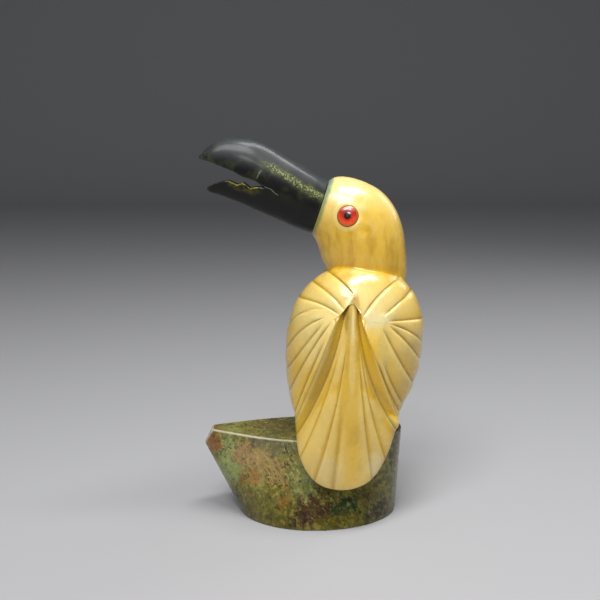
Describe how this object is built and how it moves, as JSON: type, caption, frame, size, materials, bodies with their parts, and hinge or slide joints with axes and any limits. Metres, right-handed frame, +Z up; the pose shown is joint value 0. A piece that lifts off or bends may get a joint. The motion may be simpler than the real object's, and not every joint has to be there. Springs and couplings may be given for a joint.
{
  "type": "stone bird carving",
  "caption": "Carved stone bird with folded, fan-cut wings, a fanned tail, glass eyes and a long open black bill, standing on a polished stone base with a pointed toe.",
  "frame": {"origin": "middle of the base's flat underside", "axes": "+Z up; the bird's wings and tail face -Y and its breast +Y; the bill points to -X and upwards"},
  "size_m": [0.1116, 0.0671, 0.1891],
  "materials": {
    "mottled_stone": "polished, mottled olive, green, rust and brown",
    "yellow_stone": "polished, banded yellow",
    "black_stone": "polished, near black with dark green clouds",
    "red_glass": "glossy, black pupil"
  },
  "bodies": {
    "root": {"base": "mottled_stone", "bird": "yellow_stone", "beak": "black_stone", "eye_left": "red_glass", "eye_right": "red_glass"}
  },
  "joints": []
}
